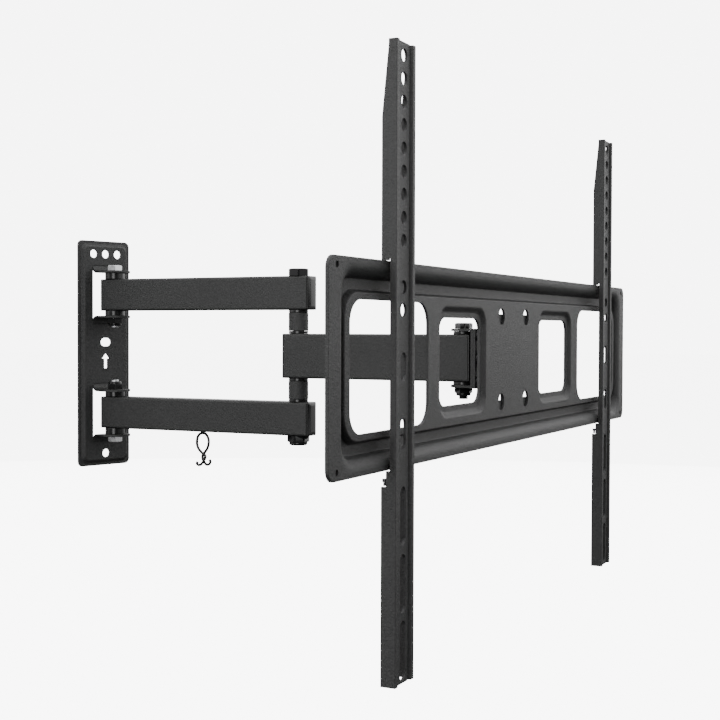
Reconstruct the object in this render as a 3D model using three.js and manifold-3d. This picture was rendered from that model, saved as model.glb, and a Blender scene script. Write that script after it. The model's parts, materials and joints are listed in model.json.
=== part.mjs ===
// Full motion TV wall mount, in millimetres.
// Origin: middle of the wall plate's back. +Y runs into the wall, +X to the right when facing it, +Z up.
import * as THREE from "three";
import { mergeVertices } from "three/addons/utils/BufferGeometryUtils.js";
import Module from "manifold-3d";

const wasm = await Module();
wasm.setup();

const GAP = 0.2; // between two pieces that touch
const M8 = { shank: 4, hole: 4.3, flats: 13 }; // the wall and head pivots
const M10 = { shank: 5, hole: 5.3, flats: 17 }; // the elbow
const deg = THREE.MathUtils.degToRad;

// The folding chain, joint by joint. Turns are about +Z, away from straight out of the wall.
const WALL_PIVOT = 19.8; // from the wall to the first pivot
const INNER = { length: 198, turn: deg(19.8), wide: 17, high: 30, mid: 55.75, wall: 1.6 };
const OUTER = { length: 157, turn: deg(18.8), wide: 20, high: 39.4, wall: 1.8 };
const TV_TURN = deg(18.27);
const RIM = 47.4; // from the head pivot to the front of the TV plate's rim

const BLACK = { color: 0x2b2c2e, roughness: 0.45, metalness: 0.2 };
const DARK_STEEL = { color: 0x1b1b1d, roughness: 0.35, metalness: 0.7 };
const ZINC = { color: 0xc9cdd2, roughness: 0.3, metalness: 0.9 };
const PLASTIC = { color: 0x151515, roughness: 0.4, metalness: 0 };

// ---- helpers ----

function solid(geometry) {
  const plain = geometry.clone();
  plain.deleteAttribute("normal");
  plain.deleteAttribute("uv");
  const merged = mergeVertices(plain, 1e-4);
  return new wasm.Manifold(
    new wasm.Mesh({
      numProp: 3,
      vertProperties: new Float32Array(merged.attributes.position.array),
      triVerts: new Uint32Array(merged.index.array),
    }),
  );
}

function add(group, name, body, finish) {
  const made = body.getMesh();
  const geometry = new THREE.BufferGeometry();
  geometry.setAttribute("position", new THREE.BufferAttribute(new Float32Array(made.vertProperties), 3));
  geometry.setIndex(new THREE.BufferAttribute(new Uint32Array(made.triVerts), 1));
  geometry.computeVertexNormals();
  const mesh = new THREE.Mesh(geometry, new THREE.MeshStandardMaterial(finish));
  mesh.name = name;
  group.add(mesh);
}

function box(x0, x1, y0, y1, z0, z1) {
  const geometry = new THREE.BoxGeometry(x1 - x0, y1 - y0, z1 - z0);
  return solid(geometry.translate((x0 + x1) / 2, (y0 + y1) / 2, (z0 + z1) / 2));
}

// A round bar along Z, Y or X; six sides make it a hexagon across its flats.
function bar(axis, radius, from, to, sides = 24) {
  const reach = sides === 6 ? radius / Math.cos(Math.PI / 6) : radius;
  const geometry = new THREE.CylinderGeometry(reach, reach, to - from, sides);
  geometry.translate(0, (from + to) / 2, 0);
  if (axis === "z") geometry.rotateX(Math.PI / 2);
  if (axis === "x") geometry.rotateZ(-Math.PI / 2);
  return solid(geometry);
}

// A ring along Z: a washer, bush or spacer.
function ring(outer, inner, from, to) {
  return bar("z", outer, from, to).subtract(bar("z", inner, from - 1, to + 1));
}

// An outline of [a, b] pairs swept along a third axis: "y" takes (x, z), "z" takes (x, y), "x" takes (y, z).
function prism(axis, outline, from, to) {
  const flip = axis === "y" ? -1 : 1;
  const shape = new THREE.Shape(outline.map(([a, b]) => new THREE.Vector2(a, flip * b)));
  const geometry = new THREE.ExtrudeGeometry(shape, { depth: to - from, bevelEnabled: false });
  geometry.translate(0, 0, from);
  if (axis === "y") geometry.rotateX(-Math.PI / 2);
  if (axis === "x") geometry.rotateX(Math.PI / 2).rotateZ(Math.PI / 2);
  return solid(geometry);
}

// The corners of a rounded rectangle, anticlockwise, as [a, b] pairs.
function rounded(halfA, halfB, radius, steps = 5, centreA = 0, centreB = 0) {
  const points = [];
  for (let corner = 0; corner < 4; corner++) {
    const signA = corner === 0 || corner === 3 ? 1 : -1;
    const signB = corner < 2 ? 1 : -1;
    for (let step = 0; step <= steps; step++) {
      const angle = (Math.PI / 2) * (corner + step / steps);
      points.push([
        centreA + signA * (halfA - radius) + radius * Math.cos(angle),
        centreB + signB * (halfB - radius) + radius * Math.sin(angle),
      ]);
    }
  }
  return points;
}

// A closed skin over a chain of rounded rectangles in XZ, [halfX, halfZ, radius, y] each, capped at both ends.
function loft(rings, steps = 5) {
  const count = 4 * (steps + 1);
  const points = [];
  for (const [halfX, halfZ, radius, y] of rings) {
    for (const [x, z] of rounded(halfX, halfZ, radius, steps)) points.push(x, y, z);
  }
  const first = points.length / 3;
  points.push(0, rings[0][3], 0, 0, rings[rings.length - 1][3], 0);
  const faces = [];
  for (let k = 0; k < count; k++) {
    const next = (k + 1) % count;
    for (let r = 0; r < rings.length - 1; r++) {
      const here = r * count;
      const there = here + count;
      faces.push(here + k, there + k, here + next, here + next, there + k, there + next);
    }
    const last = (rings.length - 1) * count;
    faces.push(first, k, next, first + 1, last + next, last + k);
  }
  const geometry = new THREE.BufferGeometry();
  geometry.setAttribute("position", new THREE.Float32BufferAttribute(points, 3));
  geometry.setIndex(faces);
  const made = solid(geometry);
  if (made.volume() > 0) return made;
  for (let f = 0; f < faces.length; f += 3) [faces[f], faces[f + 1]] = [faces[f + 1], faces[f]];
  geometry.setIndex(faces);
  return solid(geometry);
}

function union(bodies) {
  return bodies.reduce((whole, body) => whole.add(body));
}

// ---- wall plate ----

const mount = new THREE.Group();
mount.name = "tv_wall_mount";

const EAR = 2;
const WINDOW = { half: 14.5, low: 34, high: 78.7 };

function wallPlate() {
  let plate = loft([
    [21.5, 100.5, 4, -2.9],
    [23.5, 103, 5, 0],
    [29, 108, 5, 0],
    [29, 108, 5, -1.4],
    [28.4, 107.4, 4.5, -2],
    [25.5, 104.5, 6, -2],
    [23.5, 102.5, 5, -4.9],
  ]);
  const cuts = [prism("y", rounded(5.9, 3.95, 3.9, 5, 0, 10.8), -9, 1)];
  for (const [x, z] of [[-13.3, 95.2], [0, 95.2], [13.3, 95.2], [0, -96]]) {
    cuts.push(bar("y", 4, -9, 1).translate(x, 0, z));
  }
  const arrow = [[-2, -14.3], [2, -14.3], [2, -5], [4.4, -5], [0, 0.6], [-4.4, -5], [-2, -5]];
  cuts.push(prism("y", arrow, -9, 1));
  for (const side of [1, -1]) {
    const low = side > 0 ? WINDOW.low : -WINDOW.high;
    cuts.push(box(-WINDOW.half, WINDOW.half, -9, 1, low, low + WINDOW.high - WINDOW.low));
  }
  plate = plate.subtract(union(cuts));
  for (const low of [WINDOW.low, WINDOW.high - EAR, -WINDOW.low - EAR, -WINDOW.high]) {
    const ear = box(-WINDOW.half - 0.4, WINDOW.half + 0.4, -WALL_PIVOT, -3.2, low, low + EAR)
      .add(bar("z", WINDOW.half + 0.4, low, low + EAR, 32).translate(0, -WALL_PIVOT, 0))
      .subtract(bar("z", M8.hole, low - 1, low + EAR + 1).translate(0, -WALL_PIVOT, 0));
    plate = plate.add(ear);
  }
  return plate;
}
add(mount, "wall_plate", wallPlate(), BLACK);

// A hexagon bolt along Z whose head's underside is at `seat`; `way` is -1 when the shank runs down.
function bolt(size, headHigh, seat, way, reach) {
  const head = way < 0 ? [seat, seat + headHigh] : [seat - headHigh, seat];
  const shank = way < 0 ? [seat - reach, seat + 1] : [seat - 1, seat + reach];
  return bar("z", size.flats / 2, head[0], head[1], 6).add(bar("z", size.shank, shank[0], shank[1]));
}

function nut(size, from, to) {
  return bar("z", size.flats / 2, from, to, 6).subtract(bar("z", size.hole, from - 1, to + 1));
}

const pivots = new THREE.Group();
pivots.name = "wall_pivots";
pivots.position.set(0, -WALL_PIVOT, 0);
mount.add(pivots);
const tubeTop = INNER.mid + INNER.high / 2;
const tubeBottom = INNER.mid - INNER.high / 2;
for (const [side, name] of [[1, "upper"], [-1, "lower"]]) {
  const spans = {
    bolt: bolt(M8, 5.2, side * (WINDOW.high + GAP), -side, 54),
    nut: nut(M8, WINDOW.low - GAP - 7.5, WINDOW.low - GAP),
    outer_bush: ring(9.1, M8.hole, tubeTop + GAP, WINDOW.high - EAR - GAP),
    inner_bush: ring(9.1, M8.hole, WINDOW.low + EAR + GAP, tubeBottom - GAP),
  };
  const placed = (body) => (side > 0 ? body : body.mirror([0, 0, 1]));
  add(pivots, `${name}_pivot_bolt`, spans.bolt, ZINC);
  add(pivots, `${name}_pivot_nut`, placed(spans.nut), DARK_STEEL);
  add(pivots, `${name}_pivot_outer_bush`, placed(spans.outer_bush), PLASTIC);
  add(pivots, `${name}_pivot_inner_bush`, placed(spans.inner_bush), PLASTIC);
}

// ---- inner arms ----

// A hollow arm of oblong section along -Y from its pivot at the origin, bored for both pivot bolts.
function armTube(arm, behind, past, holes) {
  const half = [arm.wide / 2, arm.high / 2];
  const outside = loft([
    [half[0], half[1], 2, behind],
    [half[0], half[1], 2, -arm.length - past],
  ], 4);
  const inside = loft([
    [half[0] - arm.wall, half[1] - arm.wall, 0.8, behind + 1],
    [half[0] - arm.wall, half[1] - arm.wall, 0.8, -arm.length - past - 1],
  ], 4);
  const bores = [0, -arm.length].map((y, end) => {
    return bar("z", holes[end], -arm.high, arm.high).translate(0, y, 0);
  });
  return outside.subtract(inside).subtract(union(bores));
}

// A moulded plug with a domed cover over a tube's mouth; it points along +Y and starts at the mouth.
function endCap(arm, deep) {
  const fit = [arm.wide / 2 - arm.wall - GAP, arm.high / 2 - arm.wall - GAP];
  const half = [arm.wide / 2, arm.high / 2];
  return loft([
    [fit[0], fit[1], 0.6, -deep],
    [fit[0], fit[1], 0.6, GAP],
    [half[0] - 0.2, half[1] - 0.2, 2, GAP],
    [half[0] - 0.2, half[1] - 0.2, 2, 1.3],
    [half[0] - 0.8, half[1] - 0.7, 2, 1.9],
    [half[0] - 3, half[1] - 1.6, 2, 2.4],
    [half[0] - 5.5, half[1] - 2.2, 2, 2.6],
  ], 4);
}
const turned = (body) => body.rotate([0, 0, 180]);

const inner = new THREE.Group();
inner.name = "inner_arms";
inner.position.set(0, -WALL_PIVOT, 0);
inner.rotation.z = INNER.turn;
mount.add(inner);
const INNER_BEHIND = 8.7;
const INNER_PAST = 11.8;
for (const [side, name] of [[1, "upper"], [-1, "lower"]]) {
  const raised = (body) => body.translate(0, 0, side * INNER.mid);
  const tube = armTube(INNER, INNER_BEHIND, INNER_PAST, [M8.hole, M10.hole]);
  add(inner, `${name}_arm`, raised(tube), BLACK);
  add(inner, `${name}_arm_wall_cap`, raised(endCap(INNER, 4).translate(0, INNER_BEHIND, 0)), PLASTIC);
  const far = turned(endCap(INNER, 4)).translate(0, -INNER.length - INNER_PAST, 0);
  add(inner, `${name}_arm_elbow_cap`, raised(far), PLASTIC);
}

const elbow = new THREE.Group();
elbow.name = "elbow";
elbow.position.set(0, -INNER.length, 0);
inner.add(elbow);
add(elbow, "elbow_bolt", bolt(M10, 6.6, tubeTop + GAP, -1, 2 * tubeTop + 10.5), DARK_STEEL);
add(elbow, "elbow_nut", nut(M10, -tubeTop - GAP - 8.4, -tubeTop - GAP), DARK_STEEL);
const ELBOW_BUSH = 2.3;
const outerTop = OUTER.high / 2;
for (const [side, name] of [[1, "upper"], [-1, "lower"]]) {
  const placed = (body) => (side > 0 ? body : body.mirror([0, 0, 1]));
  const low = outerTop + GAP;
  const high = tubeBottom - GAP;
  const bushes = [
    ["outer_bush", high - ELBOW_BUSH, high],
    ["inner_bush", low, low + ELBOW_BUSH],
  ];
  for (const [part, from, to] of bushes) {
    add(elbow, `${name}_elbow_${part}`, placed(ring(8.1, M10.hole, from, to)), PLASTIC);
  }
  const spacer = ring(8.8, M10.hole, low + ELBOW_BUSH + GAP, high - ELBOW_BUSH - GAP);
  add(elbow, `${name}_elbow_spacer`, placed(spacer), BLACK);
}

// A wire ring hung under the lower arm; its two ends cross twice and curl up. Points are [along, across, up].
function cableClip() {
  const path = [
    [-4.9, -1.4, -28.2], [-5.6, -1.4, -29.8], [-3.6, -1.4, -31], [-0.9, -1.4, -30], [1.4, -1.4, -27.2],
    [3.3, -1.4, -24.2], [3.1, -1.4, -21.6], [0.3, -1.4, -19.9], [-4, -1, -16], [-6.2, -0.4, -10.8],
    [-5.6, 0, -5.2], [-3, 0, -2.2], [0.2, 0, -1.4], [3.4, 0, -2.4], [5.8, 0.2, -6.4], [5.8, 0.5, -11],
    [3.9, 1, -16], [0.5, 1.4, -20], [-1.3, 1.4, -23], [-0.9, 1.4, -26], [0.9, 1.4, -28.8], [3.4, 1.4, -30.6],
    [6, 1.4, -29.8], [7.2, 1.4, -27.6], [6.2, 1.4, -26],
  ];
  const curve = new THREE.CatmullRomCurve3(path.map(([x, y, z]) => new THREE.Vector3(y, -x, z)));
  const wire = new THREE.Shape();
  wire.absarc(0, 0, 1.3, 0, 2 * Math.PI);
  return solid(
    new THREE.ExtrudeGeometry(wire, { extrudePath: curve, steps: 80, curveSegments: 4, bevelEnabled: false }),
  );
}
add(inner, "cable_clip", cableClip().translate(0, -98.5, -tubeTop - GAP), PLASTIC);

// ---- outer arm ----

const outer = new THREE.Group();
outer.name = "outer_arm";
outer.position.copy(elbow.getWorldPosition(new THREE.Vector3()));
outer.rotation.z = OUTER.turn;
mount.add(outer);
const OUTER_BEHIND = 9.5;
const OUTER_PAST = 7;
add(outer, "outer_arm", armTube(OUTER, OUTER_BEHIND, OUTER_PAST, [M10.hole, M8.hole]), BLACK);
add(outer, "outer_arm_elbow_cap", endCap(OUTER, 4).translate(0, OUTER_BEHIND, 0), PLASTIC);
const headCap = turned(endCap(OUTER, 2.2)).translate(0, -OUTER.length - OUTER_PAST, 0);
add(outer, "outer_arm_head_cap", headCap, PLASTIC);

// ---- head: clevis, tilt bracket ----

const head = new THREE.Group();
head.name = "head";
const headPlace = new THREE.Vector3(0, -OUTER.length, 0);
mount.updateMatrixWorld(true);
head.position.copy(outer.localToWorld(headPlace));
head.rotation.z = TV_TURN;
mount.add(head);

const CLEVIS = { ear: 22.4, thick: 2, back: 14.2, front: 16.2, half: 20.4, root: 14 };
const LEVEL_SCREWS = [-15.2, 15.2].flatMap((x) => [18.7, 0, -18.7].map((z) => [x, z]));

function clevis() {
  const top = CLEVIS.ear + CLEVIS.thick;
  let body = box(-CLEVIS.half, CLEVIS.half, -CLEVIS.front, -CLEVIS.back, -top, top);
  for (const low of [CLEVIS.ear, -top]) {
    const join = -CLEVIS.back - 0.5;
    const outline = [
      [10.5, 0], [10.5, -4], [CLEVIS.root, -11], [CLEVIS.root, join], [-CLEVIS.root, join], [-CLEVIS.root, -11],
      [-10.5, -4], [-10.5, 0],
    ];
    const ear = prism("z", outline, low, low + CLEVIS.thick)
      .add(bar("z", 10.5, low, low + CLEVIS.thick, 28))
      .subtract(bar("z", M8.hole, low - 1, low + CLEVIS.thick + 1));
    body = body.add(ear);
  }
  const holes = [bar("y", 4.3, -20, -10)];
  for (const [x, z] of LEVEL_SCREWS) holes.push(bar("y", 3.9, -20, -10).translate(x, 0, z));
  return body.subtract(union(holes));
}
add(head, "head_clevis", clevis(), BLACK);
const clevisTop = CLEVIS.ear + CLEVIS.thick;
add(head, "head_bolt", bolt(M8, 4.7, clevisTop + GAP, -1, 2 * clevisTop + 10), DARK_STEEL);
add(head, "head_nut", nut(M8, -clevisTop - GAP - 6.8, -clevisTop - GAP), DARK_STEEL);
add(head, "head_upper_bush", ring(8.5, M8.hole, outerTop + GAP, CLEVIS.ear - GAP), PLASTIC);
add(head, "head_lower_bush", ring(8.5, M8.hole, -CLEVIS.ear + GAP, -outerTop - GAP), PLASTIC);

const TILT_AXIS = 32;
const TILT_EAR = { inner: 7.4, outer: 9.4, radius: 7.5 };
const baseBack = -CLEVIS.front - GAP;
const baseFront = baseBack - 1.8;

// An ear plate across X that stands out to the tilt axis and ends in a half round.
function tiltEar(x0, x1, from, radius) {
  return box(x0, x1, Math.min(from, -TILT_AXIS), Math.max(from, -TILT_AXIS), -radius, radius)
    .add(bar("x", radius, x0, x1, 28).translate(0, -TILT_AXIS, 0))
    .subtract(bar("x", 3.3, x0 - 1, x1 + 1).translate(0, -TILT_AXIS, 0));
}

function tiltBracket() {
  let body = box(-CLEVIS.half, CLEVIS.half, baseFront, baseBack, -clevisTop, clevisTop)
    .add(tiltEar(-TILT_EAR.outer, -TILT_EAR.inner, baseFront + 0.5, TILT_EAR.radius))
    .add(tiltEar(TILT_EAR.inner, TILT_EAR.outer, baseFront + 0.5, TILT_EAR.radius));
  const holes = [bar("y", 4.3, -22, -16)];
  for (const [x, z] of LEVEL_SCREWS) holes.push(bar("y", 2.8, -22, -14).translate(x, 0, z));
  return body.subtract(union(holes));
}
add(head, "tilt_bracket", tiltBracket(), BLACK);

// A pan-head fastener along Y whose head faces the television.
function panHead(shankR, headR, headHigh) {
  return bar("y", headR, baseFront - GAP - headHigh, baseFront - GAP)
    .add(bar("y", shankR, baseFront - GAP - 0.5, -CLEVIS.back - 0.2));
}
add(head, "level_pivot_bolt", panHead(4, 6.8, 3), DARK_STEEL);
LEVEL_SCREWS.forEach(([x, z], k) => {
  add(head, `level_screw_${k + 1}`, panHead(2.5, 4.6, 2.2).translate(x, 0, z), DARK_STEEL);
});
const pinEnd = TILT_EAR.outer + 2 * GAP + 2.2;
const tiltPin = bar("x", 3, -pinEnd - 2, pinEnd + 6).translate(0, -TILT_AXIS, 0);
const tiltHead = bar("x", 5, -pinEnd - 4, -pinEnd - GAP, 6).translate(0, -TILT_AXIS, 0);
add(head, "tilt_bolt", tiltPin.add(tiltHead), DARK_STEEL);
const tiltNut = bar("x", 5, pinEnd + GAP, pinEnd + 5, 6).subtract(bar("x", 3.3, 0, 40));
add(head, "tilt_nut", tiltNut.translate(0, -TILT_AXIS, 0), DARK_STEEL);

// ---- TV plate ----

const SHEET = 2;
const PANEL = 3; // how far the raised panel lies behind the rim's front
const CHANNEL = 8.5; // and the channel's floor
const BIG = { mid: 235, half: 60, high: 42, radius: 15 };
const SMALL = { mid: 109.5, half: 39.5, high: 32, radius: 10, lip: 6 };

function tvPlate() {
  let plate = loft([
    [299, 43.5, 17, PANEL + SHEET],
    [301, 45, 18, CHANNEL + SHEET],
    [309, 58, 20, CHANNEL + SHEET],
    [314, 63, 12, SHEET],
    [326.3, 65.5, 6, SHEET],
    [326.3, 65.5, 6, 2.6],
    [328.5, 67.7, 8, 2.6],
    [328.5, 67.7, 8, 1.2],
    [327.4, 66.6, 7, 0],
    [311, 61.2, 14, 0],
    [306.5, 55.7, 19, CHANNEL],
    [303.5, 47.7, 19, CHANNEL],
    [301.5, 45.7, 18, PANEL],
  ]);
  for (const side of [-1, 1]) {
    const mid = side * SMALL.mid;
    const recess = loft([
      [SMALL.half + 6.5, SMALL.high + 8.5, 13, PANEL - 1],
      [SMALL.half + 6.5, SMALL.high + 8.5, 13, PANEL + 0.3],
      [SMALL.half + 3.5, SMALL.high + 4.5, 12, SMALL.lip],
      [SMALL.half + 3.5, SMALL.high + 4.5, 12, SMALL.lip + 0.01],
    ]);
    const dish = loft([
      [SMALL.half + 7.5, SMALL.high + 9.5, 14, PANEL + 0.3],
      [SMALL.half + 7.5, SMALL.high + 9.5, 14, PANEL + 1.7],
      [SMALL.half + 4.5, SMALL.high + 5.5, 13, SMALL.lip + 1.8],
    ]);
    const opening = rounded(SMALL.half, SMALL.high, SMALL.radius, 6, mid, 0);
    plate = plate
      .add(dish.translate(mid, 0, 0))
      .subtract(recess.translate(mid, 0, 0))
      .subtract(prism("y", opening, -5, 20));
    const big = rounded(BIG.half, BIG.high, BIG.radius, 6, side * BIG.mid, 0);
    plate = plate.subtract(prism("y", big, -5, 20));
    for (const z of [-34, 34]) plate = plate.subtract(bar("y", 6.75, -5, 20).translate(side * 29, 0, z));
    for (const z of [-62, 62]) plate = plate.subtract(bar("y", 2.1, -5, 1.4, 16).translate(side * 317.5, 0, z));
  }
  return plate.translate(0, -RIM, 0);
}
add(head, "tv_plate", tvPlate(), BLACK);

// Folded bracket on the back of the panel that takes the tilt bolt.
function panelBracket() {
  const front = -RIM + PANEL + SHEET + GAP;
  const base = box(-20, 20, front, front + 2.2, -42.5, 36)
    .add(box(-41, 41, front, front + 2.2, 20, 36))
    .add(box(-41, 41, front, front + 2.2, -42.5, -33));
  const ears = [-1, 1].map((side) => {
    const near = TILT_EAR.outer + GAP;
    const span = [side * near, side * (near + 2)].sort((a, b) => a - b);
    return tiltEar(span[0], span[1], front + 1, 8);
  });
  return base.add(union(ears));
}
add(head, "panel_bracket", panelBracket(), BLACK);

// ---- rails ----

const RAIL = { top: 209.5, bottom: -208.5, half: 14.8, deep: 10.6, proud: 5.8, sheet: 1.9 };
const HOLE_ROW = [201, 186, 171, 156, 141, 126, 111, 96, 81, 51, 36];
const SLOTS = [[-0.9, 18.7], [-44.4, 19.5], [-98.3, 38.3], [-142.9, 38.9], [-187, 39.5]];
const NARROW = 7.1; // the flange's depth below the plate, where the lock screw shows
const LOCK = { across: -12.4, deep: 9 };

// A channel, open towards the wall, with two raised strips down its front; y = 0 is their face.
function rail() {
  const inside = RAIL.half - RAIL.sheet;
  const corner = RAIL.half - 1.2;
  const outline = [
    [-RAIL.half, RAIL.deep], [-RAIL.half, 1.2], [-corner, 0], [-10.4, 0], [-9.2, 1.6], [9.2, 1.6], [10.4, 0],
    [corner, 0], [RAIL.half, 1.2], [RAIL.half, RAIL.deep], [inside, RAIL.deep], [inside, 1.9], [11.2, 1.9],
    [10, 3.5], [-10, 3.5], [-11.2, 1.9], [-inside, 1.9], [-inside, RAIL.deep],
  ];
  let body = prism("z", outline, RAIL.bottom, RAIL.top);
  // The flanges give way to the plate, hook over its top edge and taper at the top of the rail.
  const notch = [
    [4.4, 69.1], [6.6, 69.1], [6.9, 68], [8.9, 68], [8.9, 63.5], [20, 63.5], [20, -78.3], [NARROW, -78.3],
    [NARROW, -68], [4.4, -68],
  ];
  const taper = [[6, 220], [6, 206], [RAIL.deep, 160], [20, 160], [20, 220]];
  body = body
    .subtract(prism("x", notch, -20, 20))
    .subtract(prism("x", taper, -20, 20))
    .add(box(0.5 - RAIL.half, RAIL.half - 0.5, 3, RAIL.deep - 0.2, -77, -75.4))
    .subtract(bar("z", 1.2, -78, -75, 12).translate(LOCK.across, LOCK.deep, 0));
  const cuts = HOLE_ROW.map((z) => bar("y", 4.5, -2, 6).translate(0, 0, z));
  for (const [z, long] of SLOTS) cuts.push(prism("y", rounded(4.3, long / 2, 4.25, 5, 0, z), -2, 6));
  return body.subtract(union(cuts));
}

// The small screw in the tab under the plate's lower edge.
function lockScrew() {
  return bar("z", 1, -77.8, -75, 12)
    .add(bar("z", 1.7, -75.2, -73.2, 12))
    .translate(LOCK.across, LOCK.deep, 0);
}

for (const [along, name] of [[-232.3, "left"], [246, "right"]]) {
  const front = -RIM - RAIL.proud;
  add(head, `${name}_rail`, rail().translate(along, front, 0), BLACK);
  add(head, `${name}_rail_screw`, lockScrew().translate(along, front, 0), DARK_STEEL);
}

export default mount;
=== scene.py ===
"""The looks of the full motion TV wall mount: pressed sheet, tube and hardware in satin black and zinc.

The row frame is in metres: +Y runs into the wall, +X to the right when facing it, +Z up.
Shapes are written in millimetres in the frame of their own part and placed by its matrix.
"""

import json
import math

import bmesh
import bpy
from mathutils import Euler, Matrix, Vector
from mathutils.geometry import tessellate_polygon


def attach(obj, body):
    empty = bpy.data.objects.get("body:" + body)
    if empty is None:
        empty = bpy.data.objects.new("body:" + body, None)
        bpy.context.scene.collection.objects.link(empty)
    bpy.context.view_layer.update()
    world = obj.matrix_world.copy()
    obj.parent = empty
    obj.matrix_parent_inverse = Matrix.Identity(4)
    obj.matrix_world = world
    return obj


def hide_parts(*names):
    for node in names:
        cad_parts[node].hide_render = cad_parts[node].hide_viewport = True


MM = 0.001
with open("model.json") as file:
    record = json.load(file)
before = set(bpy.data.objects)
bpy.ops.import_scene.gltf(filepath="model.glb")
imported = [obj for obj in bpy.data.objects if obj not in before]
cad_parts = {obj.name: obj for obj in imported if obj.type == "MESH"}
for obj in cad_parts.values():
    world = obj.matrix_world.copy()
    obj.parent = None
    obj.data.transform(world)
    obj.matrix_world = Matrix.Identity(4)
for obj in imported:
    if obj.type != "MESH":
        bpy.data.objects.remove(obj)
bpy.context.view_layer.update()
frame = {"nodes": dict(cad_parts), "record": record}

# ---- where the folding chain stands, as the CAD has it ----

WALL_PIVOT = 19.8
INNER_LENGTH = 198.0
OUTER_LENGTH = 157.0
INNER_TURN = math.radians(19.8)
OUTER_TURN = math.radians(18.8)
TV_TURN = math.radians(18.27)
INNER_MID = 55.75
INNER_HIGH = 30.0
OUTER_HIGH = 39.4
RIM = 47.4


def placed(x, y, turn):
    """The matrix of a part frame that stands at x, y (mm) and is turned about Z."""
    return Matrix.Translation((x * MM, y * MM, 0)) @ Matrix.Rotation(turn, 4, "Z")


def onward(matrix, length):
    """The point `length` mm along a part frame's -Y."""
    point = matrix @ Vector((0, -length * MM, 0))
    return point.x / MM, point.y / MM


WALL = Matrix.Identity(4)
INNER = placed(0, -WALL_PIVOT, INNER_TURN)
OUTER = placed(*onward(INNER, INNER_LENGTH), OUTER_TURN)
HEAD = placed(*onward(OUTER, OUTER_LENGTH), TV_TURN)
WALL_BOLTS = placed(0, -WALL_PIVOT, 0)


# ---- materials ----


def principled(name):
    material = bpy.data.materials.new(name)
    material.use_nodes = True
    nodes = material.node_tree.nodes
    return material, nodes, material.node_tree.links, nodes["Principled BSDF"]


def noise(nodes, links, scale, detail=4.0, roughness=0.5):
    """A noise texture in object space, `scale` features to the metre."""
    place = nodes.new("ShaderNodeTexCoord")
    texture = nodes.new("ShaderNodeTexNoise")
    texture.inputs["Scale"].default_value = scale
    texture.inputs["Detail"].default_value = detail
    texture.inputs["Roughness"].default_value = roughness
    links.new(place.outputs["Object"], texture.inputs["Vector"])
    return texture


def spread(nodes, links, source, low, high):
    """The source's values 0.3 to 0.7 spread over low to high."""
    ramp = nodes.new("ShaderNodeMapRange")
    ramp.inputs["From Min"].default_value = 0.3
    ramp.inputs["From Max"].default_value = 0.7
    ramp.inputs["To Min"].default_value = low
    ramp.inputs["To Max"].default_value = high
    links.new(source, ramp.inputs["Value"])
    return ramp.outputs["Result"]


def blend_colours(nodes, links, factor, dark, light):
    mix = nodes.new("ShaderNodeMix")
    mix.data_type = "RGBA"
    mix.inputs["A"].default_value = (*dark, 1)
    mix.inputs["B"].default_value = (*light, 1)
    links.new(factor, mix.inputs["Factor"])
    return mix.outputs["Result"]


def bump(nodes, links, shader, height, strength, distance):
    node = nodes.new("ShaderNodeBump")
    node.inputs["Strength"].default_value = strength
    node.inputs["Distance"].default_value = distance
    links.new(height, node.inputs["Height"])
    links.new(node.outputs["Normal"], shader.inputs["Normal"])


def powder_coat():
    """Satin black powder paint: a fine orange peel over a slow change of tone."""
    material, nodes, links, shader = principled("powder_coat")
    grain = noise(nodes, links, 900, 4, 0.65)
    cloud = noise(nodes, links, 14, 3, 0.5)
    tone = spread(nodes, links, cloud.outputs["Fac"], 0.0, 1.0)
    colour = blend_colours(nodes, links, tone, (0.014, 0.0145, 0.0145), (0.019, 0.0195, 0.0195))
    links.new(colour, shader.inputs["Base Color"])
    links.new(spread(nodes, links, grain.outputs["Fac"], 0.32, 0.50), shader.inputs["Roughness"])
    shader.inputs["Specular IOR Level"].default_value = 0.5
    bump(nodes, links, shader, grain.outputs["Fac"], 0.9, 0.0009)
    return material


def dark_steel():
    """Black zinc on bolts and nuts: darker and glossier than the paint, with faint wear."""
    material, nodes, links, shader = principled("dark_steel")
    wear = noise(nodes, links, 420, 5, 0.65)
    tone = spread(nodes, links, wear.outputs["Fac"], 0.0, 1.0)
    colour = blend_colours(nodes, links, tone, (0.004, 0.004, 0.0045), (0.009, 0.009, 0.0095))
    links.new(colour, shader.inputs["Base Color"])
    links.new(spread(nodes, links, wear.outputs["Fac"], 0.14, 0.24), shader.inputs["Roughness"])
    shader.inputs["Specular IOR Level"].default_value = 0.35
    return material


def zinc():
    """Bright zinc plating with a slightly mottled sheen."""
    material, nodes, links, shader = principled("zinc")
    mottle = noise(nodes, links, 300, 4, 0.6)
    tone = spread(nodes, links, mottle.outputs["Fac"], 0.0, 1.0)
    colour = blend_colours(nodes, links, tone, (0.80, 0.81, 0.83), (0.92, 0.92, 0.93))
    links.new(colour, shader.inputs["Base Color"])
    links.new(spread(nodes, links, mottle.outputs["Fac"], 0.22, 0.36), shader.inputs["Roughness"])
    shader.inputs["Metallic"].default_value = 1.0
    return material


def plastic():
    """Black moulded nylon with a fine even grain."""
    material, nodes, links, shader = principled("plastic")
    grain = noise(nodes, links, 2400, 2, 0.5)
    tone = spread(nodes, links, grain.outputs["Fac"], 0.0, 1.0)
    colour = blend_colours(nodes, links, tone, (0.007, 0.007, 0.007), (0.011, 0.011, 0.011))
    links.new(colour, shader.inputs["Base Color"])
    links.new(spread(nodes, links, grain.outputs["Fac"], 0.16, 0.26), shader.inputs["Roughness"])
    bump(nodes, links, shader, grain.outputs["Fac"], 0.12, 0.0001)
    return material


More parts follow.
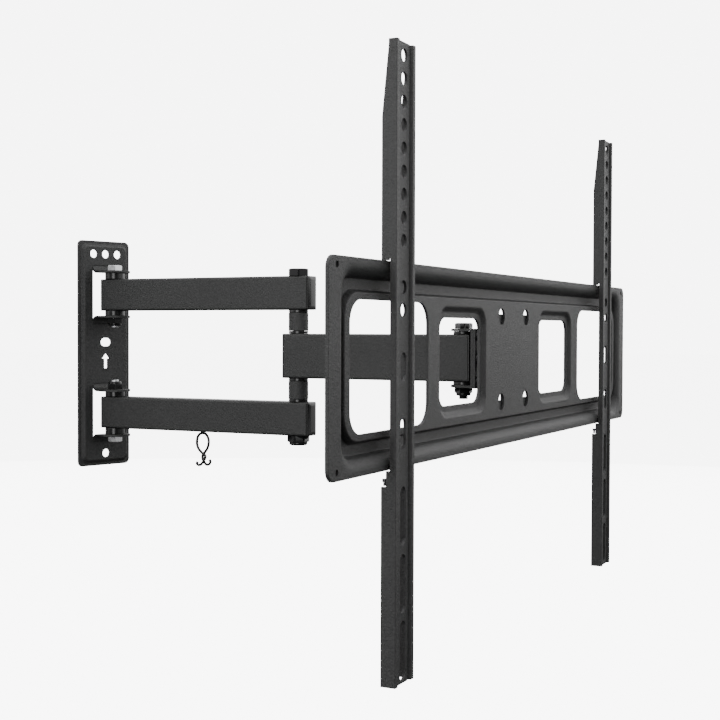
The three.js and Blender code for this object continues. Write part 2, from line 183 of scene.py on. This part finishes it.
FINISH = {
    "powder_coat": powder_coat(),
    "dark_fastener": dark_steel(),
    "zinc_fastener": zinc(),
    "moulded_plastic": plastic(),
}
SLOT_OF = {row["node"]: row["material_slot"] for row in frame["record"]["subparts"]}
BODY_OF = {
    node: body
    for body, members in frame["record"]["behaviour"]["bodies"].items()
    for node in members
}


# ---- meshes ----


def soften(thing, width, angle):
    """Rounds the sharp edges by `width` mm and keeps flat faces flat in the shading."""
    edge = thing.modifiers.new("edges", "BEVEL")
    edge.width = width * MM
    edge.segments = 2
    edge.limit_method = "ANGLE"
    edge.angle_limit = math.radians(angle)
    edge.use_clamp_overlap = True
    thing.data.shade_smooth()
    thing.modifiers.new("flat shading", "WEIGHTED_NORMAL")


def dress(node, width=0.25):
    """Gives a CAD node its finish and soft edges."""
    piece = frame["nodes"][node]
    piece.data.materials.clear()
    piece.data.materials.append(FINISH[SLOT_OF[node]])
    soften(piece, width, 35)


class Shell:
    """Collects the points (mm, in a part frame) and faces of one mesh."""

    def __init__(self):
        self.points = []
        self.faces = []

    def ring(self, points):
        first = len(self.points)
        self.points += [Vector(point) for point in points]
        return list(range(first, len(self.points)))

    def strip(self, a, b, closed=True):
        for k in range(len(a) if closed else len(a) - 1):
            n = (k + 1) % len(a)
            self.faces.append((a[k], a[n], b[n], b[k]))

    def strips(self, rows, closed=True):
        rings = [self.ring(row) for row in rows]
        for a, b in zip(rings, rings[1:]):
            self.strip(a, b, closed)
        return rings

    def fill(self, *loops):
        """A flat face inside the first ring, with the other rings as holes."""
        corners = [[self.points[k] for k in loop] for loop in loops]
        order = [k for loop in loops for k in loop]
        self.faces += [tuple(order[c] for c in triangle) for triangle in tessellate_polygon(corners)]

    def made(self, node, matrix, front=None, sheet=0.0, edge=0.3, angle=50):
        """The object that stands for a CAD node; `front` and `sheet` thicken an open skin backwards."""
        mesh = bpy.data.meshes.new(node + "_look")
        mesh.from_pydata([matrix @ (point * MM) for point in self.points], [], self.faces)
        work = bmesh.new()
        work.from_mesh(mesh)
        bmesh.ops.remove_doubles(work, verts=work.verts, dist=0.01 * MM)
        bmesh.ops.recalc_face_normals(work, faces=work.faces)
        if front:
            way = matrix.to_3x3() @ Vector(front)
            if sum(face.normal.dot(way) * face.calc_area() for face in work.faces) < 0:
                bmesh.ops.reverse_faces(work, faces=work.faces)
        work.to_mesh(mesh)
        work.free()
        mesh.materials.append(FINISH[SLOT_OF[node]])
        thing = bpy.data.objects.new(node + "_look", mesh)
        bpy.context.scene.collection.objects.link(thing)
        if sheet:
            thick = thing.modifiers.new("sheet", "SOLIDIFY")
            thick.thickness = sheet * MM
            thick.offset = -1
            thick.use_quality_normals = True
        soften(thing, edge, angle)
        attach(thing, BODY_OF[node])
        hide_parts(node)
        return thing


def rounded(half_a, half_b, radius, steps=8, centre=(0, 0)):
    """The outline of a rounded oblong, as (a, b) pairs."""
    outline = []
    for quarter, (side_a, side_b) in enumerate([(1, 1), (-1, 1), (-1, -1), (1, -1)]):
        for k in range(steps + 1):
            turn = math.radians(90 * quarter + 90 * k / steps)
            a = side_a * (half_a - radius) + radius * math.cos(turn)
            b = side_b * (half_b - radius) + radius * math.sin(turn)
            outline.append((centre[0] + a, centre[1] + b))
    return outline


def circle(radius, centre=(0, 0), sides=28):
    turns = [2 * math.pi * k / sides for k in range(sides)]
    return [(centre[0] + radius * math.cos(t), centre[1] + radius * math.sin(t)) for t in turns]


def eased(stations, cut, steps=5):
    """The stations of a profile with each inner corner replaced by a curve `cut` mm long on each side."""
    points = [Vector(station) for station in stations]
    curve = [points[0]]
    for before, corner, after in zip(points, points[1:], points[2:]):
        start = corner + (before - corner) * min(0.45, cut / (before - corner).length)
        end = corner + (after - corner) * min(0.45, cut / (after - corner).length)
        for k in range(steps + 1):
            t = k / steps
            curve.append(start * (1 - t) ** 2 + corner * 2 * t * (1 - t) + end * t * t)
    return curve + [points[-1]]


def upright(outline, depth):
    """An outline in X and Z at y = depth."""
    return [(a, depth, b) for a, b in outline]


# ---- TV plate ----

SHEET = 2.0
PANEL = 3.0
CHANNEL = 8.5
BIG = {"mid": 235.0, "half": 60.0, "high": 42.0, "radius": 15.0}
SMALL = {"mid": 109.5, "half": 39.5, "high": 32.0, "radius": 10.0, "lip": 6.0}


def pressed(shell, stations, cut, centre=(0, 0), back=0.0):
    """Rows of rounded oblongs [half width, half height, corner radius, depth] joined into one skin."""
    rows = []
    for half_a, half_b, radius, depth in eased(stations, cut):
        rows.append(upright(rounded(half_a, half_b, radius, centre=centre), back + depth))
    return shell.strips(rows)


def tv_plate():
    shell = Shell()
    edge = [(328.4, 67.6, 8.0, 2.4), (328.4, 67.6, 8.0, 0.0), (326.9, 66.1, 7.5, 0.0)]
    outer = pressed(shell, edge, 1.8, back=-RIM)[-1]
    roll = []
    for turn in (0, 15, 30, 45, 60, 74):
        inset = 8.4 * math.sin(math.radians(turn))
        depth = 9.6 * (1 - math.cos(math.radians(turn)))
        roll.append((314.0 - inset, 63.9 - inset, 15.0, depth))
    channel = [
        *roll,
        (305.4, 55.0, 19.0, CHANNEL),
        (303.0, 48.0, 19.0, CHANNEL),
        (302.0, 46.4, 18.0, PANEL),
        (299.0, 43.4, 16.0, PANEL),
    ]
    inner = pressed(shell, channel, 1.1, back=-RIM)
    dimples = []
    for s in (-317.5, 317.5):
        for z in (-62, 62):
            rings = shell.strips([upright(circle(2.1, (s, z), 16), -RIM + depth) for depth in (0, 1.4)])
            shell.fill(rings[1])
            dimples.append(rings[0])
    shell.fill(outer, inner[0], *dimples)
    loops = [inner[-1]]
    face = -RIM + PANEL
    for side in (-1, 1):
        window = rounded(BIG["half"], BIG["high"], BIG["radius"], 8, (side * BIG["mid"], 0))
        loops.append(shell.ring(upright(window, face)))
        centre = (side * SMALL["mid"], 0)
        recess = [
            (SMALL["half"] + 8.0, SMALL["high"] + 10.0, 14.0, PANEL),
            (SMALL["half"] + 6.0, SMALL["high"] + 8.0, 13.0, PANEL),
            (SMALL["half"] + 3.6, SMALL["high"] + 4.6, 12.0, SMALL["lip"]),
            (SMALL["half"], SMALL["high"], SMALL["radius"], SMALL["lip"]),
        ]
        loops.append(pressed(shell, recess, 1.6, centre, -RIM)[0])
        for z in (-34, 34):
            loops.append(shell.ring(upright(circle(6.75, (side * 29, z)), face)))
    shell.fill(*loops)
    shell.made("tv_plate", HEAD, (0, -1, 0), SHEET, 0.4)


# ---- rails ----

RAIL = {"top": 209.5, "bottom": -208.5, "half": 14.8, "deep": 10.6, "proud": 5.8, "sheet": 1.9}
HOLE_ROW = (201, 186, 171, 156, 141, 126, 111, 96, 81, 51, 36)
SLOTS = ((-0.9, 18.7), (-44.4, 19.5), (-98.3, 38.3), (-142.9, 38.9), (-187, 39.5))
NARROW = 7.1
WEB = {"half": 8.0, "deep": 1.6}


def flange_edge():
    """The flange's rear edge down the rail, as (depth, z): taper, hook, notch for the plate, full depth."""
    deep = RAIL["deep"]
    return [
        (6, RAIL["top"]), (6, 206), (deep, 160), (deep, 63.5),
        (8.9, 63.5), (8.9, 67.8), (5.5, 67.8), (5.4, 69.1),
        (4.4, 69.1), (4.4, -68), (NARROW, -68), (NARROW, -78.3), (deep, -78.3), (deep, RAIL["bottom"]),
    ]


def rail(node, along):
    """A channel: a sunk web with a groove on each side, then two raised strips whose face is y = 0."""
    shell = Shell()
    matrix = HEAD @ Matrix.Translation((along * MM, -(RIM + RAIL["proud"]) * MM, 0))
    top, bottom, half = RAIL["top"], RAIL["bottom"], RAIL["half"]
    corners = [(WEB["half"], WEB["deep"]), (8.7, 2.6), (9.4, 2.6), (10.2, 0), (half, 0), (half, 4.0)]
    profile = eased(corners, 0.8, 4)
    for side in (-1, 1):
        shell.strips([[(side * a, depth, z) for z in (top, bottom)] for a, depth in profile], closed=False)
        flange = [(side * half, depth, z) for depth, z in [(4.0, top), *flange_edge(), (4.0, bottom)]]
        shell.fill(shell.ring(flange))
    edge, deep = WEB["half"], WEB["deep"]
    web = [(-edge, deep, top), (edge, deep, top), (edge, deep, bottom), (-edge, deep, bottom)]
    loops = [shell.ring(web)]
    for z in HOLE_ROW:
        loops.append(shell.ring(upright(circle(4.5, (0, z), 24), deep)))
    for z, long in SLOTS:
        loops.append(shell.ring(upright(rounded(4.3, long / 2, 4.25, 6, (0, z)), deep)))
    shell.fill(*loops)
    shell.made(node, matrix, (0, -1, 0), RAIL["sheet"], 0.35)


# ---- wall plate ----

EAR = 2.0
WINDOW = {"half": 14.5, "low": 34.0, "high": 78.7}
FACE = -4.9
WALL_SHEET = 1.9
BEND = 5.2


def ear(shell, tip, bend):
    """An ear bent out of the wall plate.

    `tip` is the height of its face inside the bend, and `bend` is +1 when the plate rises there. Its section
    runs from the plate's sheet, round the bend, to the flat with a half round end and the bolt hole.
    """
    inside = [(FACE, tip + bend * (BEND + 0.6))]
    outside = [(FACE + WALL_SHEET, tip + bend * (BEND + 0.6))]
    for k in range(9):
        turn = math.pi / 2 * k / 8
        across, up = 1 - math.cos(turn), 1 - math.sin(turn)
        inside.append((FACE - BEND * across, tip + bend * BEND * up))
        reach = BEND + EAR
        outside.append((FACE + WALL_SHEET - reach * across, tip - bend * EAR + bend * reach * up))
    half = WINDOW["half"] - 0.05
    rings = []
    for y_z_in, y_z_out in zip(inside, outside):
        row = [(-half, *y_z_in), (half, *y_z_in), (half, *y_z_out), (-half, *y_z_out)]
        rings.append(row)
    joined = shell.strips(rings)
    shell.fill(joined[0])
    start = inside[-1][0]
    arc = [math.pi * k / 24 for k in range(25)]
    outline = [(half * math.cos(t), -WALL_PIVOT - half * math.sin(t)) for t in arc]
    outline = [(half, start), *outline, (-half, start)]
    levels = (tip, tip - bend * EAR)
    rims = [shell.ring([(x, y, z) for x, y in outline]) for z in levels]
    bores = [shell.ring([(x, y, z) for x, y in circle(4.3, (0, -WALL_PIVOT), 24)]) for z in levels]
    shell.strip(rims[0], rims[1])
    shell.strip(bores[0], bores[1])
    shell.fill(rims[0], bores[0])
    shell.fill(rims[1], bores[1])


def wall_plate():
    shell = Shell()
    stations = [
        (28.9, 107.9, 5.0, -0.1),
        (28.9, 107.9, 5.0, -1.9),
        (25.6, 104.6, 6.0, -1.9),
        (23.4, 102.4, 5.0, FACE),
        (21.5, 100.5, 4.0, FACE),
    ]
    loops = [pressed(shell, stations, 1.3)[-1]]
    for x, z in ((-13.3, 95.2), (0, 95.2), (13.3, 95.2), (0, -96)):
        loops.append(shell.ring(upright(circle(4, (x, z)), FACE)))
    loops.append(shell.ring(upright(rounded(5.9, 3.95, 3.9, 8, (0, 10.8)), FACE)))
    arrow = [(-2, -14.3), (2, -14.3), (2, -5), (4.4, -5), (0, 0.6), (-4.4, -5), (-2, -5)]
    loops.append(shell.ring(upright(arrow, FACE)))
    for side in (-1, 1):
        middle = side * (WINDOW["low"] + WINDOW["high"]) / 2
        high = (WINDOW["high"] - WINDOW["low"]) / 2 + BEND
        loops.append(shell.ring(upright(rounded(WINDOW["half"], high, 0.6, 2, (0, middle)), FACE)))
    shell.fill(*loops)
    shell.made("wall_plate", WALL, (0, -1, 0), WALL_SHEET, 0.35)
    ears = Shell()
    for side in (1, -1):
        ear(ears, side * WINDOW["high"], side)
        ear(ears, side * WINDOW["low"], -side)
    ears.made("wall_plate", WALL, edge=0.35)


# ---- bolts, nuts and clip ----


def hexagon(flats, turn, sides=48):
    """A hexagon's outline by angle, with `flats` mm across."""
    outline = []
    for k in range(sides):
        angle = 2 * math.pi * k / sides
        off = (angle - turn) % (math.pi / 3) - math.pi / 6
        reach = flats / 2 / math.cos(off)
        outline.append((reach * math.cos(angle), reach * math.sin(angle)))
    return outline


def hex_head(shell, flats, base, top, turn=0.0, bore=0.0):
    """A hexagon from base to top (either way up) with its far corners chamfered round, solid or bored."""
    way = 1 if top > base else -1
    shape = hexagon(flats, turn)
    drop = [max(0.0, math.hypot(x, y) - flats * 0.475) * 0.6 for x, y in shape]
    bottom = [(x, y, base) for x, y in shape]
    shoulder = [(x, y, top - way * fall) for (x, y), fall in zip(shape, drop)]
    face = [(x, y, top) for x, y in circle(flats * 0.45, sides=len(shape))]
    rings = shell.strips([bottom, shoulder, face])
    if bore:
        walls = shell.strips([[(x, y, z) for x, y in circle(bore, sides=24)] for z in (base, top)])
        shell.fill(rings[0], walls[0])
        shell.fill(rings[-1], walls[1])
    else:
        shell.fill(rings[0])
        shell.fill(rings[-1])


def revolved(shell, profile):
    """(radius, z) pairs turned about Z, filled at both ends."""
    rings = shell.strips([[(x, y, z) for x, y in circle(radius, sides=32)] for radius, z in profile])
    shell.fill(rings[0])
    shell.fill(rings[-1])


def thread(shell, radius, start, end, pitch):
    """A screw thread between two heights, as one winding wall closed at both ends."""
    sides = 24
    per_turn = 6
    count = max(2, round(abs(end - start) / pitch * per_turn))
    rows = []
    for k in range(count + 1):
        z = start + (end - start) * k / count
        row = []
        for n in range(sides):
            phase = (k / per_turn + n / sides) % 1
            depth = 0.55 * pitch * (1 - abs(2 * phase - 1))
            angle = 2 * math.pi * n / sides
            reach = radius - (depth if 0 < k < count else 0.6 * pitch)
            row.append((reach * math.cos(angle), reach * math.sin(angle), z))
        rows.append(row)
    rings = shell.strips(rows)
    shell.fill(rings[0])
    shell.fill(rings[-1])


def bolt(node, matrix, size, seat, head, end, smooth, turn=0.0):
    """A hexagon bolt: head from seat to seat + head, smooth shank to `smooth`, thread to `end`."""
    shank, flats, pitch = size
    shell = Shell()
    hex_head(shell, flats, seat, seat + head, turn)
    way = -1 if head > 0 else 1
    revolved(shell, [(shank, seat - 0.2 * way), (shank, smooth)])
    thread(shell, shank, smooth - 0.2 * way, end, pitch)
    shell.made(node, matrix, edge=0.2, angle=40)


def lock_nut(node, matrix, size, seat, end):
    """A nut with a nylon ring: hexagon from the seat, then a smaller rounded collar."""
    shank, flats, pitch = size
    way = 1 if end > seat else -1
    collar = abs(end - seat) * 0.28
    shell = Shell()
    hex_head(shell, flats, seat, end - way * collar, bore=shank + 0.3)
    base = end - way * (collar + 0.4)
    profile = [
        (flats * 0.48, base), (flats * 0.475, base + way * collar * 0.6), (flats * 0.45, end - way * 0.5),
        (flats * 0.40, end), (shank + 0.3, end), (shank + 0.3, base),
    ]
    rings = shell.strips([[(x, y, z) for x, y in circle(radius, sides=32)] for radius, z in profile])
    shell.strip(rings[-1], rings[0])
    shell.made(node, matrix, edge=0.2, angle=40)


CLEVIS_EAR = 22.4
M8 = (4.0, 13.0, 1.25)
M10 = (5.0, 17.0, 1.5)


def pivot_hardware():
    ear_top = WINDOW["high"]
    for side, name in ((1, "upper"), (-1, "lower")):
        top, end, smooth = side * (ear_top + 0.05), side * (ear_top - 53.8), side * 33
        bolt(f"{name}_pivot_bolt", WALL_BOLTS, M8, top, side * 5.3, end, smooth)
        seat = WINDOW["low"] - 0.05
        lock_nut(f"{name}_pivot_nut", WALL_BOLTS, M8, side * seat, side * (seat - 7.6))
    tube_top = INNER_MID + INNER_HIGH / 2
    elbow = placed(*onward(INNER, INNER_LENGTH), INNER_TURN)
    bolt("elbow_bolt", elbow, M10, tube_top + 0.05, 6.6, -tube_top - 8.4, -tube_top + 2, math.radians(25))
    lock_nut("elbow_nut", elbow, M10, -tube_top - 0.05, -tube_top - 8.6)
    ear = 24.4
    bolt("head_bolt", HEAD, M8, ear + 0.05, 4.8, -ear - 9.8, -ear + 2)
    lock_nut("head_nut", HEAD, M8, -ear - 0.05, -ear - 7.0)


def bush(node, matrix, radius, bore, low, high):
    """A moulded bush: a short collar with rounded ends."""
    shell = Shell()
    profile = [(bore, low), (radius - 0.25, low), (radius, low + 0.25)]
    profile += [(radius, high - 0.25), (radius - 0.25, high), (bore, high)]
    rings = shell.strips([[(x, y, z) for x, y in circle(r, sides=36)] for r, z in profile])
    shell.strip(rings[-1], rings[0])
    shell.made(node, matrix, edge=0.15, angle=40)


def bushes():
    """Every bush fills the space between the two faces it keeps apart, but for a hair."""
    hair = 0.04
    elbow = placed(*onward(INNER, INNER_LENGTH), INNER_TURN)
    tube = (INNER_MID - INNER_HIGH / 2, INNER_MID + INNER_HIGH / 2)
    outer_top = OUTER_HIGH / 2
    for side, name in ((1, "upper"), (-1, "lower")):
        rows = [
            (f"{name}_pivot_outer_bush", WALL_BOLTS, 9.1, 4.3, tube[1], WINDOW["high"] - EAR),
            (f"{name}_pivot_inner_bush", WALL_BOLTS, 9.1, 4.3, WINDOW["low"] + EAR, tube[0]),
            (f"{name}_elbow_outer_bush", elbow, 8.6, 5.3, tube[0] - 2.5, tube[0]),
            (f"{name}_elbow_spacer", elbow, 8.8, 5.3, outer_top + 2.5, tube[0] - 2.5),
            (f"{name}_elbow_inner_bush", elbow, 8.6, 5.3, outer_top, outer_top + 2.5),
            (f"head_{name}_bush", HEAD, 8.5, 4.3, outer_top, CLEVIS_EAR),
        ]
        for node, matrix, radius, bore, low, high in rows:
            ends = sorted((side * (low + hair), side * (high - hair)))
            bush(node, matrix, radius, bore, *ends)


def end_cap(node, matrix, wide, high, mouth, way, deep=4.0):
    """A moulded cap domed over a tube's mouth at y = mouth, facing way (+1 or -1), with its plug inside."""
    shell = Shell()
    rows = []
    for inset, out in [(2.0, -deep), (2.0, 0.15), (0.1, 0.15), (0.1, 1.2)]:
        rows.append(upright(rounded(wide / 2 - inset, high / 2 - inset, 1.2, 6), mouth + way * out))
    for k in range(1, 8):
        turn = math.radians(11 * k)
        inset = 0.1 + 7 * (1 - math.cos(turn))
        out = 1.2 + 1.4 * math.sin(turn)
        rows.append(upright(rounded(wide / 2 - inset, high / 2 - inset * 0.6, 1.2, 6), mouth + way * out))
    rings = shell.strips(rows)
    shell.fill(rings[0])
    shell.fill(rings[-1])
    shell.made(node, matrix, edge=0.2, angle=40)


def end_caps():
    for side, name in ((1, "upper"), (-1, "lower")):
        raised = INNER @ Matrix.Translation((0, 0, side * INNER_MID * MM))
        end_cap(f"{name}_arm_wall_cap", raised, 17, INNER_HIGH, 8.7, 1)
        end_cap(f"{name}_arm_elbow_cap", raised, 17, INNER_HIGH, -INNER_LENGTH - 11.8, -1)
    end_cap("outer_arm_elbow_cap", OUTER, 20, OUTER_HIGH, 9.5, 1)
    end_cap("outer_arm_head_cap", OUTER, 20, OUTER_HIGH, -OUTER_LENGTH - 7, -1, 2.2)


def cable_clip():
    """The wire ring under the lower arm, closed flat at each end. Points are [along, across, up]."""
    path = [
        (-4.9, -1.4, -28.2), (-5.6, -1.4, -29.8), (-3.6, -1.4, -31), (-0.9, -1.4, -30), (1.4, -1.4, -27.2),
        (3.3, -1.4, -24.2), (3.1, -1.4, -21.6), (0.3, -1.4, -19.9), (-4, -1, -16), (-6.2, -0.4, -10.8),
        (-5.6, 0, -5.2), (-3, 0, -2.2), (0.2, 0, -1.4), (3.4, 0, -2.4), (5.8, 0.2, -6.4), (5.8, 0.5, -11),
        (3.9, 1, -16), (0.5, 1.4, -20), (-1.3, 1.4, -23), (-0.9, 1.4, -26), (0.9, 1.4, -28.8),
        (3.4, 1.4, -30.6), (6, 1.4, -29.8), (7.2, 1.4, -27.6), (6.2, 1.4, -26),
    ]
    knots = [Vector((across, -along, up)) for along, across, up in path]
    centres = []
    for k in range(len(knots) - 1):
        p = [knots[max(k - 1, 0)], knots[k], knots[k + 1], knots[min(k + 2, len(knots) - 1)]]
        for n in range(6):
            t = n / 6
            smooth = p[1] * 2 + (p[2] - p[0]) * t
            smooth += (p[0] * 2 - p[1] * 5 + p[2] * 4 - p[3]) * t * t
            smooth += (p[1] * 3 - p[0] - p[2] * 3 + p[3]) * t * t * t
            centres.append(smooth / 2)
    centres.append(knots[-1])
    shell = Shell()
    rows = []
    side = Vector((1, 0, 0))
    for k, centre in enumerate(centres):
        way = (centres[min(k + 1, len(centres) - 1)] - centres[max(k - 1, 0)]).normalized()
        side = (side - way * side.dot(way)).normalized()
        other = way.cross(side)
        turns = [2 * math.pi * n / 14 for n in range(14)]
        rows.append([centre + (side * math.cos(t) + other * math.sin(t)) * 1.25 for t in turns])
    rings = shell.strips(rows)
    shell.fill(rings[0])
    shell.fill(rings[-1])
    drop = INNER @ Matrix.Translation((0, -98.5 * MM, -(INNER_MID + INNER_HIGH / 2 + 0.2) * MM))
    shell.made("cable_clip", drop, edge=0.3, angle=60)


HERO = {"tv_plate", "left_rail", "right_rail", "wall_plate", "cable_clip"}
HERO |= {"elbow_bolt", "elbow_nut", "head_bolt", "head_nut"}
HERO |= {f"{end}_pivot_{kind}" for end in ("upper", "lower") for kind in ("bolt", "nut")}
HERO |= {node for node in frame["nodes"] if node.endswith(("_bush", "_spacer", "_cap"))}

tv_plate()
rail("left_rail", -232.3)
rail("right_rail", 246.0)
wall_plate()
pivot_hardware()
bushes()
end_caps()
cable_clip()
for name in frame["nodes"]:
    if name not in HERO:
        dress(name)


# ---- floor, light and camera ----

CAMERA_AT = Vector((-0.69219, -1.03982, 0.02271))
CAMERA_PITCH = 0.0233183
CAMERA_AZIMUTH = 0.787158
CAMERA_ROLL = 0.002743
LENS = 63.42
AWAY = Vector((math.sin(CAMERA_AZIMUTH), math.cos(CAMERA_AZIMUTH), 0))
WHITE = 7.0


def fade(nodes, links, vector, along, low, high, bottom, top):
    """A smooth step from bottom to top as the vector's share along a fixed direction goes low to high."""
    dot = nodes.new("ShaderNodeVectorMath")
    dot.operation = "DOT_PRODUCT"
    dot.inputs[1].default_value = along
    links.new(vector, dot.inputs[0])
    step = nodes.new("ShaderNodeMapRange")
    step.interpolation_type = "SMOOTHSTEP"
    step.inputs["From Min"].default_value = low
    step.inputs["From Max"].default_value = high
    step.inputs["To Min"].default_value = bottom
    step.inputs["To Max"].default_value = top
    links.new(dot.outputs["Value"], step.inputs["Value"])
    return step.outputs["Result"]


def combined(nodes, links, operation, a, b):
    node = nodes.new("ShaderNodeMath")
    node.operation = operation
    links.new(a, node.inputs[0])
    links.new(b, node.inputs[1])
    return node.outputs["Value"]


def staged(name, mesh, material, height):
    mesh.materials.append(material)
    thing = bpy.data.objects.new(name, mesh)
    thing.location.z = height
    bpy.context.scene.collection.objects.link(thing)
    return thing


def floor():
    """A pale floor, lit white like the backdrop, that throws no light of its own on the mount."""
    material, nodes, links, shader = principled("floor")
    cloud = noise(nodes, links, 2, 2, 0.4)
    tone = spread(nodes, links, cloud.outputs["Fac"], 0.0, 1.0)
    colour = blend_colours(nodes, links, tone, (0.90, 0.90, 0.90), (0.93, 0.93, 0.93))
    links.new(colour, shader.inputs["Base Color"])
    shader.inputs["Roughness"].default_value = 0.9
    shader.inputs["Emission Color"].default_value = (1, 1, 1, 1)
    shader.inputs["Emission Strength"].default_value = 0.97 * WHITE
    material.cycles.emission_sampling = "NONE"
    mesh = bpy.data.meshes.new("floor")
    half = 30
    corners = [(-half, -half, 0), (half, -half, 0), (half, half, 0), (-half, half, 0)]
    mesh.from_pydata(corners, [], [(0, 1, 2, 3)])
    plane = staged("floor", mesh, material, -0.6)
    plane.visible_diffuse = False
    plane.visible_glossy = False


TENT = 5.0


def tent():
    """The light: a big dome, bright to the sides and above and dark where the camera stands."""
    material = bpy.data.materials.new("tent")
    material.use_nodes = True
    nodes, links = material.node_tree.nodes, material.node_tree.links
    nodes.clear()
    place = nodes.new("ShaderNodeTexCoord").outputs["Object"]
    sides = fade(nodes, links, place, -AWAY, 0.3 * TENT, 0.9 * TENT, 1.0, 0.12)
    rise = fade(nodes, links, place, Vector((0, 0, 1)), -0.22 * TENT, 0.22 * TENT, 0.16, 1.9)
    glow = nodes.new("ShaderNodeEmission")
    links.new(combined(nodes, links, "MULTIPLY", sides, rise), glow.inputs["Strength"])
    surface = nodes.new("ShaderNodeOutputMaterial")
    links.new(glow.outputs["Emission"], surface.inputs["Surface"])
    material.cycles.emission_sampling = "NONE"
    work = bmesh.new()
    bmesh.ops.create_uvsphere(work, u_segments=48, v_segments=24, radius=TENT)
    mesh = bpy.data.meshes.new("tent")
    work.to_mesh(mesh)
    work.free()
    dome = staged("tent", mesh, material, 0)
    dome.visible_camera = False


def backdrop():
    """A plain white surround that only the camera sees."""
    made = bpy.data.worlds.new("backdrop")
    bpy.context.scene.world = made
    made.use_nodes = True
    background = made.node_tree.nodes["Background"]
    background.inputs["Color"].default_value = (1, 1, 1, 1)
    background.inputs["Strength"].default_value = WHITE
    seen = made.cycles_visibility
    seen.diffuse = False
    seen.glossy = False


def panel_light(name, at, aim, wide, high, power):
    lamp = bpy.data.lights.new(name, "AREA")
    lamp.shape = "RECTANGLE"
    lamp.size = wide
    lamp.size_y = high
    lamp.energy = power
    thing = bpy.data.objects.new(name, lamp)
    thing.location = at
    thing.rotation_mode = "QUATERNION"
    thing.rotation_quaternion = (Vector(aim) - Vector(at)).to_track_quat("-Z", "Y")
    bpy.context.scene.collection.objects.link(thing)
    thing.visible_camera = False


def camera():
    """The photograph's own place, heading, slight downward tilt and field of view."""
    data = bpy.data.cameras.new("camera")
    data.sensor_width = 36
    data.lens = LENS
    data.clip_start = 0.01
    data.clip_end = 100
    thing = bpy.data.objects.new("camera", data)
    thing.location = CAMERA_AT
    look = Euler((math.pi / 2 - CAMERA_PITCH, 0, -CAMERA_AZIMUTH)).to_matrix()
    thing.rotation_euler = (look @ Matrix.Rotation(CAMERA_ROLL, 3, "Z")).to_euler()
    bpy.context.scene.collection.objects.link(thing)
    bpy.context.scene.camera = thing


floor()
tent()
backdrop()
panel_light("left", (-0.9, -0.8, 0.3), (-0.1, -0.43, 0.05), 0.6, 1.6, 11.5)
camera()
